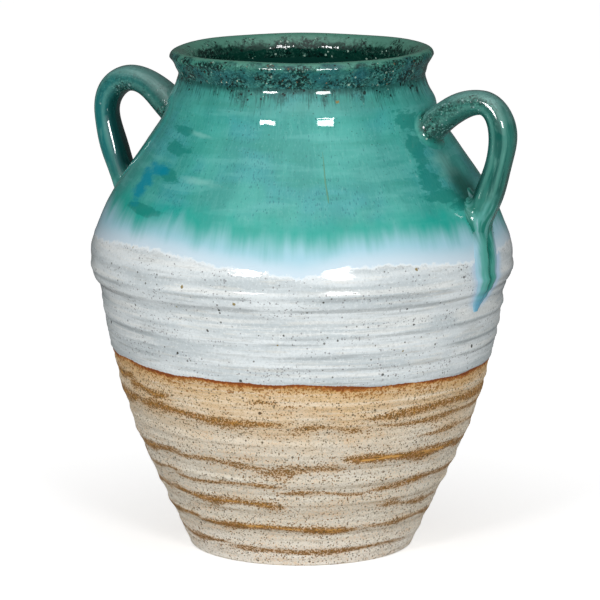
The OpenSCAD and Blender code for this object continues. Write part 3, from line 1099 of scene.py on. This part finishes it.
def shoulder_glaze():
    """Upper section: white, then pale blue, then turquoise with dark streaks under the lip."""
    f = Finish("turquoise_glaze")
    white, fine, lines = white_glaze(f)
    edge = f.shift(f.value("above_blue"), f.noise(f.place, 7.0, 4.0, 0.65), 11.0)
    blue = f.mix(f.smooth(f.value("above_blue"), 1.0, 16.0), srgb(199, 217, 228), srgb(160, 202, 216))
    white = f.mix(f.times(f.value("halo"), 0.9), white, srgb(176, 206, 230))
    colour = f.mix(f.smooth(edge, -0.5, 0.9), white, blue)
    # Near-white line along the blue coat's lower edge
    curdled = f.times(f.smooth(edge, -1.6, 0.0), f.smooth(edge, 2.2, 0.4), 0.6)
    colour = f.mix(curdled, colour, srgb(232, 238, 240))
    fingers = f.value("above_green")
    for stretch, width, reach in GREEN_FINGERS:
        fingers = f.shift(fingers, f.noise(f.down_wall(stretch), width), reach)
    colour = f.mix(f.smooth(fingers, -14.0, 9.0), colour, turquoise(f))
    f.set(Base_Color=inside_glaze(f, ochre_specks(f, neck_streaks(f, colour))))
    f.set(Roughness=f.math("ADD", f.smooth(edge, 2.0, -2.0, 0.03), f.smooth(fine, 0.3, 0.9, 0.1)))
    coarse = f.smooth(edge, 2.0, -2.0)
    relief = f.math("ADD", f.times(fine, coarse, 0.06), f.times(lines, coarse, 0.15))
    f.bump(f.math("ADD", relief, f.times(f.noise(f.along_rings(3.0), 8.0), 0.35)), 0.9)
    return f.material


def rim_glaze():
    """Rim: dark green, thick with flecks outside, pale on the crest and the flare, with painted shade
    darkening the throat.
    """
    f = Finish("rim_glaze")
    lip = f.value("lip")
    cloud = f.noise(f.place, 11.0, 3.0)
    colour = f.washes(
        f.mix(f.smooth(cloud, 0.36, 0.64), srgb(38, 98, 90), srgb(70, 138, 122)),
        (f.noise(f.place, 24.0), 0.52, 0.68, 0.5, (36, 96, 108)),
        # Darker and bluer toward the crease: dark glaze, with painted shade
        (f.shift(lip, cloud, 10.0), -7.0, -11.0, 0.5, (32, 98, 106)),
        (f.shift(lip, cloud, 8.0), -5.0, -1.5, 0.9, (88, 142, 124)),
        # Painted shade darkening the throat
        (f.shift(lip, f.noise(f.place, 5.0, 3.0), 16.0), 10.0, 15.0, 1.0, (9, 58, 47)),
    )
    outside = f.smooth(f.shift(lip, cloud, 10.0), -2.5, -6.0)
    inside = f.smooth(f.shift(lip, cloud, 26.0), 5.0, 10.0)
    colour = flecks(f, colour, f.math("ADD", outside, inside), DARK_FLECKS)
    f.set(Base_Color=flecks(f, colour, f.times(outside, 0.8), RUSTY_FLECKS))
    f.set(Roughness=f.smooth(f.noise(f.place, 3.0, 3.0), 0.3, 0.8, 0.09))
    f.bump(f.noise(f.place, 5.0), 0.4)
    return f.material


def stream(f):
    """Colour of the streams that run down from a handle's tail: green, teal and pale."""
    streaks = f.noise(f.down_wall(8.0), 4.0, 3.0)
    colour = f.mix(f.smooth(streaks, 0.4, 0.58), srgb(32, 118, 104), srgb(86, 156, 148))
    return f.washes(colour, (streaks, 0.56, 0.68, 0.8, (166, 194, 206)))


def into_stream(f, colour):
    """The same colour above the lower roots, and the stream's colour at them."""
    tail = f.smooth(f.shift(f.height, f.noise(f.place, 9.0), 24.0), *TAIL_Z)
    return f.mix(tail, colour, stream(f))


def handle_glaze():
    """Handles: streaked green with a dark inner edge, mottled over the upper arc, bluer on the left."""
    f = Finish("handle_glaze")
    along = f.value("along")
    inner = f.value("inner")
    across = f.node("ShaderNodeSeparateXYZ", {0: f.place}).outputs[0]
    streaks = f.noise(f.along_strap(9.0), 5.0, 3.0)
    fine = f.noise(f.along_strap(6.0), 2.2, 3.0, 0.6)
    colour = f.washes(
        f.mix(f.smooth(streaks, 0.36, 0.64), srgb(18, 84, 76), srgb(46, 115, 104)),
        (across, -0.1, -0.15, 0.7, (20, 114, 118)),
        # Paler along the ridges: the glaze breaks there, and these pale lines are also painted highlights
        # along the arms
        (f.shift(f.value("ridge"), streaks, 1.0), 0.3, 1.0, 0.28, (112, 172, 160)),
        (fine, 0.54, 0.7, 0.24, (116, 172, 160)),
        (f.shift(inner, streaks, 0.5), 0.2, 0.85, 0.85, (8, 48, 46)),
    )
    upper = f.smooth(f.shift(along, f.noise(f.place, 14.0), 0.3), 0.5, 0.3)
    colour = f.mix(f.times(upper, 0.4), colour, srgb(66, 126, 116))
    crown = f.smooth(f.shift(inner, fine, 1.0), -0.3, -0.9)
    colour = f.mix(f.times(upper, crown, 0.75), colour, srgb(120, 170, 164))
    mottled = f.times(upper, f.math("SUBTRACT", 1.0, f.times(crown, 0.7)), 0.8)
    colour = flecks(f, colour, mottled, HANDLE_FLECKS, 0.7)
    f.set(Base_Color=into_stream(f, colour))
    f.set(Roughness=f.smooth(f.noise(f.place, 3.0), 0.3, 0.9, 0.1), Coat_Weight=0.8, Coat_Roughness=0.03)
    f.bump(f.math("ADD", f.times(f.noise(f.place, 2.6, 3.0, 0.6), upper), f.times(streaks, 0.5)), 0.2)
    return f.material


def luting_glaze():
    """Coils at the roots: the wall's turquoise, thick and green, with a few flecks."""
    f = Finish("luting_glaze")
    up_strap = f.value("up_strap")
    cloud = f.noise(f.place, 9.0, 3.0)
    wall = f.mix(f.smooth(cloud, 0.36, 0.66), srgb(46, 136, 126), srgb(74, 162, 150))
    strap = f.mix(f.smooth(cloud, 0.36, 0.66), srgb(24, 88, 78), srgb(48, 116, 102))
    colour = f.mix(f.smooth(f.shift(up_strap, cloud, 1.0), 0.2, 0.95), wall, strap)
    flecked = f.times(f.smooth(f.height, *ROOT_FLECKS_Z), f.smooth(up_strap, 0.3, 1.0))
    colour = flecks(f, colour, flecked, DARK_FLECKS)
    f.set(Base_Color=into_stream(f, colour), Roughness=0.08)
    return f.material


def run_glaze():
    """Glaze run: pale blue-green stream on one side, dark green on the other, blue at the tip."""
    f = Finish("run_glaze")
    side = f.shift(f.value("across"), f.noise(f.down_wall(8.0), 2.6, 3.0), 0.6)
    from_core = f.math("ABSOLUTE", f.math("SUBTRACT", side, RUN_PARTING))
    colour = f.washes(
        f.mix(f.smooth(from_core, 0.3, 0.05), srgb(82, 164, 152), srgb(22, 112, 98)),
        (side, -0.25, -0.6, 0.5, (124, 186, 186)),
        (f.height, *RUN_TIP_Z, 1.0, (104, 166, 194)),
        (f.math("ABSOLUTE", side), 0.5, 0.95, 0.9, (164, 202, 220)),
    )
    f.set(Base_Color=f.mix(f.smooth(f.height, *RUN_TOP_Z), colour, stream(f)))
    f.set(Roughness=f.smooth(f.noise(f.place, 3.0), 0.3, 0.9, 0.14))
    return f.material


def drip_glaze():
    """Thin olive drip on the shoulder."""
    f = Finish("drip_glaze")
    f.set(Base_Color=f.mix(f.noise(f.place, 3.0), srgb(76, 148, 132), srgb(98, 146, 116)), Roughness=0.1)
    return f.material


# Painted reflections on the shoulder, as patches: angle from the camera's side, height, half width in degrees,
# half height
BLUE_PATCHES = ((-57.5, 314.0, 8.0, 7.5), (-61.0, 307.0, 8.0, 9.0), (-62.0, 297.0, 6.0, 12.0))
DARK_PATCHES = (
    (-55.0, 344.0, 11.0, 5.0), (-53.0, 330.5, 15.0, 7.5), (-50.5, 311.5, 9.0, 7.0),
    (-54.0, 285.0, 14.0, 6.5), (49.5, 353.0, 11.0, 15.0), (48.0, 332.0, 7.5, 18.0),
    (46.5, 310.0, 8.0, 16.0), (51.0, 296.0, 13.0, 8.5), (58.0, 288.0, 9.0, 7.5),
)
PALE_PATCHES = ((-45.0, 343.0, 9.0, 2.6), (-37.0, 310.5, 11.0, 3.4), (60.0, 316.0, 8.0, 16.0))
# How far a patch slants over half its width
PATCH_SLANT = 1.5


def patches(spots, turn, z):
    """1 in the middle of a patch, 0 at its outline and less beyond."""
    share = np.full(np.shape(z), -1.0)
    for angle, height, wide, tall in spots:
        across = (from_front(turn) - angle) / wide
        share = np.maximum(share, 1 - np.hypot(across, (z - height + PATCH_SLANT * across) / tall))
    return share


# Half of the step in height over which the tilt of the finger marks is taken, for the painted shade and light
# on them
TILT_STEP = 0.8
# Pale blue halo beside the right run: offset to the right and width in degrees, share by height
HALO_OFFSET = 0.7
HALO_WIDE = 2.2
HALO_HEIGHTS = (204.0, 212.0, 262.0, 280.0)
HALO_SHARES = (0.0, 1.0, 1.0, 0.0)
# Painted shade on the wall inside each handle: half width in degrees, share by height
POOL_WIDE = 8.5
POOL_HEIGHTS = (276.0, 290.0, 304.0, 318.0, 345.0, 358.0)
POOL_SHARES = (0.0, 1.0, 1.0, 0.5, 0.4, 0.0)


def paint_wall(piece):
    """Distances to the coats' edges, rust, tilt of the finger marks for the painted shade and light on them,
    painted reflections and painted shade inside the handles at each vertex of a wall.
    """
    turn, z, r = vertex_places(piece)
    middle, half = run_at(RIGHT_RUN, z)
    beyond = np.abs(from_front(turn) - middle - HALO_OFFSET) - half
    halo = bell(np.clip(beyond, 0, None), HALO_WIDE) * np.interp(z, HALO_HEIGHTS, HALO_SHARES)
    from_handle = np.degrees(np.arcsin(np.abs(np.sin(turn))))
    pooled = bell(from_handle, POOL_WIDE) * np.interp(z, POOL_HEIGHTS, POOL_SHARES)
    paint(
        piece,
        above_glaze=z - glaze_line(turn),
        above_blue=z - edge_height(BLUE_EDGE, turn),
        above_green=z - edge_height(GREEN_EDGE, turn),
        rust=rust(turn, z),
        tilt=(finger_marks(turn, z + TILT_STEP) - finger_marks(turn, z - TILT_STEP)) / (2 * TILT_STEP),
        inside=np.clip((smooth_r(np.minimum(z, NECK_Z)) - r) / WALL, 0, 1),
        halo=halo,
        pooled=pooled,
        blue_patch=patches(BLUE_PATCHES, turn, z),
        dark_patch=patches(DARK_PATCHES, turn, z),
        pale_patch=patches(PALE_PATCHES, turn, z),
    )


def dress(piece, material, slot, *nodes):
    """Finishes a piece, which then stands for its nodes."""
    piece.data.materials.append(material)
    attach(piece, "root")
    if nodes:
        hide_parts(*nodes)


for make, finish, slot, node in (
    (lower_section, stoneware(), "stoneware", "lower_section"),
    (upper_section, shoulder_glaze(), "turquoise_glaze", "upper_section"),
    (rim_ring, rim_glaze(), "rim_glaze", "rim_ring"),
):
    wall_piece = make()
    paint_wall(wall_piece)
    dress(wall_piece, finish, slot, node)

strap_finish = handle_glaze()
coil_finish = luting_glaze()
for word, side in (("right", 1), ("left", -1)):
    strap, lines = handle(word + "_handle_pulled", side)
    dress(strap, strap_finish, "handle_glaze", word + "_handle")
    upper_coil = luting_coil(word + "_upper_luting", lines, *UPPER_COIL)
    lower_coil = luting_coil(word + "_lower_luting", lines[::-1], *LOWER_COIL)
    for coil, level in ((upper_coil, "upper"), (lower_coil, "lower")):
        dress(coil, coil_finish, "handle_glaze", "%s_%s_coil" % (word, level))

dress(glaze_run("right_glaze_run", RIGHT_RUN, True), run_glaze(), "handle_glaze")
dress(glaze_run("front_glaze_drip", FRONT_DRIP, False), drip_glaze(), "turquoise_glaze")

# Floor: half its side, how it glows to the camera near the vase and far, where, and its colours
FLOOR_HALF = 14.0
GLOW_NEAR, GLOW_FAR = 0.46, 0.58
GLOW_REACH = (0.12, 0.5)
FLOOR_PALE = (0.88, 0.88, 0.88, 1.0)
FLOOR_DIM = (0.16, 0.17, 0.17, 1.0)
WHITE = (1.0, 1.0, 1.0, 1.0)


def floor_finish():
    """White where the camera sees the floor lit, with the shadow left on it, and dim in reflections."""
    f = Finish("floor")
    ray = f.node("ShaderNodeLightPath", {}).outputs
    f.set(Base_Color=f.mix(ray["Is Glossy Ray"], FLOOR_PALE, FLOOR_DIM))
    distance = f.node("ShaderNodeVectorMath", {0: f.place}, operation="LENGTH").outputs["Value"]
    glow = f.math("ADD", f.smooth(distance, *GLOW_REACH, GLOW_FAR - GLOW_NEAR), GLOW_NEAR)
    f.set(Emission_Color=WHITE, Emission_Strength=f.times(ray["Is Camera Ray"], glow))
    f.set(Roughness=1.0, Specular_IOR_Level=0.0)
    return f.material


floor_mesh = bpy.data.meshes.new("floor")
floor_corners = [(x * FLOOR_HALF, y * FLOOR_HALF, 0.0) for x, y in ((-1, -1), (1, -1), (1, 1), (-1, 1))]
floor_mesh.from_pydata(floor_corners, [], [(0, 1, 2, 3)])
floor = add_object("floor", floor_mesh)
floor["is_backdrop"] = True
floor_mesh.materials.append(floor_finish())


def direction(azimuth, elevation):
    """Direction from the vase: degrees from -Y towards +X, and degrees above level."""
    turn, lift = math.radians(azimuth), math.radians(elevation)
    return Vector((math.sin(turn) * math.cos(lift), -math.cos(turn) * math.cos(lift), math.sin(lift)))


# Light from all round, brightest from above the camera, with a steeper rise in mirror reflections
SKY_ELEVATION = 50.0
SKY_LOW, SKY_HIGH = 0.28, 0.58
SKY_RISE = (-0.4, 1.0)
MIRROR_LOW, MIRROR_HIGH = 0.06, 1.25
MIRROR_RISE = (0.4, 1.0)


def light_sky(world):
    """The light from all round, and white where the camera sees the sky."""
    world.use_nodes = True
    sky = Nodes(world.node_tree)
    ray = sky.node("ShaderNodeLightPath", {}).outputs
    given = {
        0: sky.node("ShaderNodeTexCoord", {}).outputs["Generated"],
        1: direction(CAMERA_AZIMUTH, SKY_ELEVATION),
    }
    toward = sky.node("ShaderNodeVectorMath", given, operation="DOT_PRODUCT").outputs["Value"]
    lit = sky.ramp(toward, *SKY_RISE, SKY_LOW, SKY_HIGH)
    mirrored = sky.ramp(toward, *MIRROR_RISE, MIRROR_LOW, MIRROR_HIGH)
    level = sky.ramp(ray["Is Glossy Ray"], 0.0, 1.0, lit, mirrored)
    backdrop = sky.tree.nodes["Background"].inputs
    sky.feed(backdrop["Color"], WHITE)
    sky.feed(backdrop["Strength"], sky.ramp(ray["Is Camera Ray"], 0.0, 1.0, level, 1.0))


bpy.context.scene.world = bpy.data.worlds.new("studio")
light_sky(bpy.context.scene.world)

# Two soft boxes in front, either side of the camera: azimuth, elevation, distance, width, height, watts
SOFT_BOXES = (
    (CAMERA_AZIMUTH + 20.0, 17.3, 2.2, 0.5, 0.4, 15.6),
    (CAMERA_AZIMUTH - 29.0, 17.3, 2.2, 0.48, 0.3, 14.0),
)
AIM = Vector((0.0, 0.0, 0.3))
for number, (azimuth, elevation, distance, width, height, watts) in enumerate(SOFT_BOXES):
    lamp = bpy.data.lights.new("soft_box_%d" % number, "AREA")
    lamp.shape = "RECTANGLE"
    lamp.size = width
    lamp.size_y = height
    lamp.energy = watts
    away = direction(azimuth, elevation)
    turned = away.to_track_quat("Z", "Y").to_matrix().to_4x4()
    add_object(lamp.name, lamp).matrix_world = Matrix.Translation(AIM + away * distance) @ turned

camera_data = bpy.data.cameras.new("camera")
camera_data.sensor_width = SENSOR_MM
camera_data.lens = FOCAL_PIXELS / IMAGE_PIXELS * SENSOR_MM
camera_data.shift_x = (IMAGE_PIXELS / 2 - AXIS_PIXEL) / IMAGE_PIXELS
camera = add_object("camera", camera_data)
camera.location = direction(CAMERA_AZIMUTH, 0.0) * CAMERA_DISTANCE + Vector((0.0, 0.0, CAMERA_HEIGHT))
camera.rotation_euler = (math.radians(90.0 - CAMERA_PITCH), 0.0, math.radians(CAMERA_AZIMUTH))
bpy.context.scene.camera = camera
bpy.context.scene.view_settings.view_transform = "Standard"

boxes = {"cad": cad_box, "visual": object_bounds()}
{name: [list(corner) for corner in box] for name, box in boxes.items()}
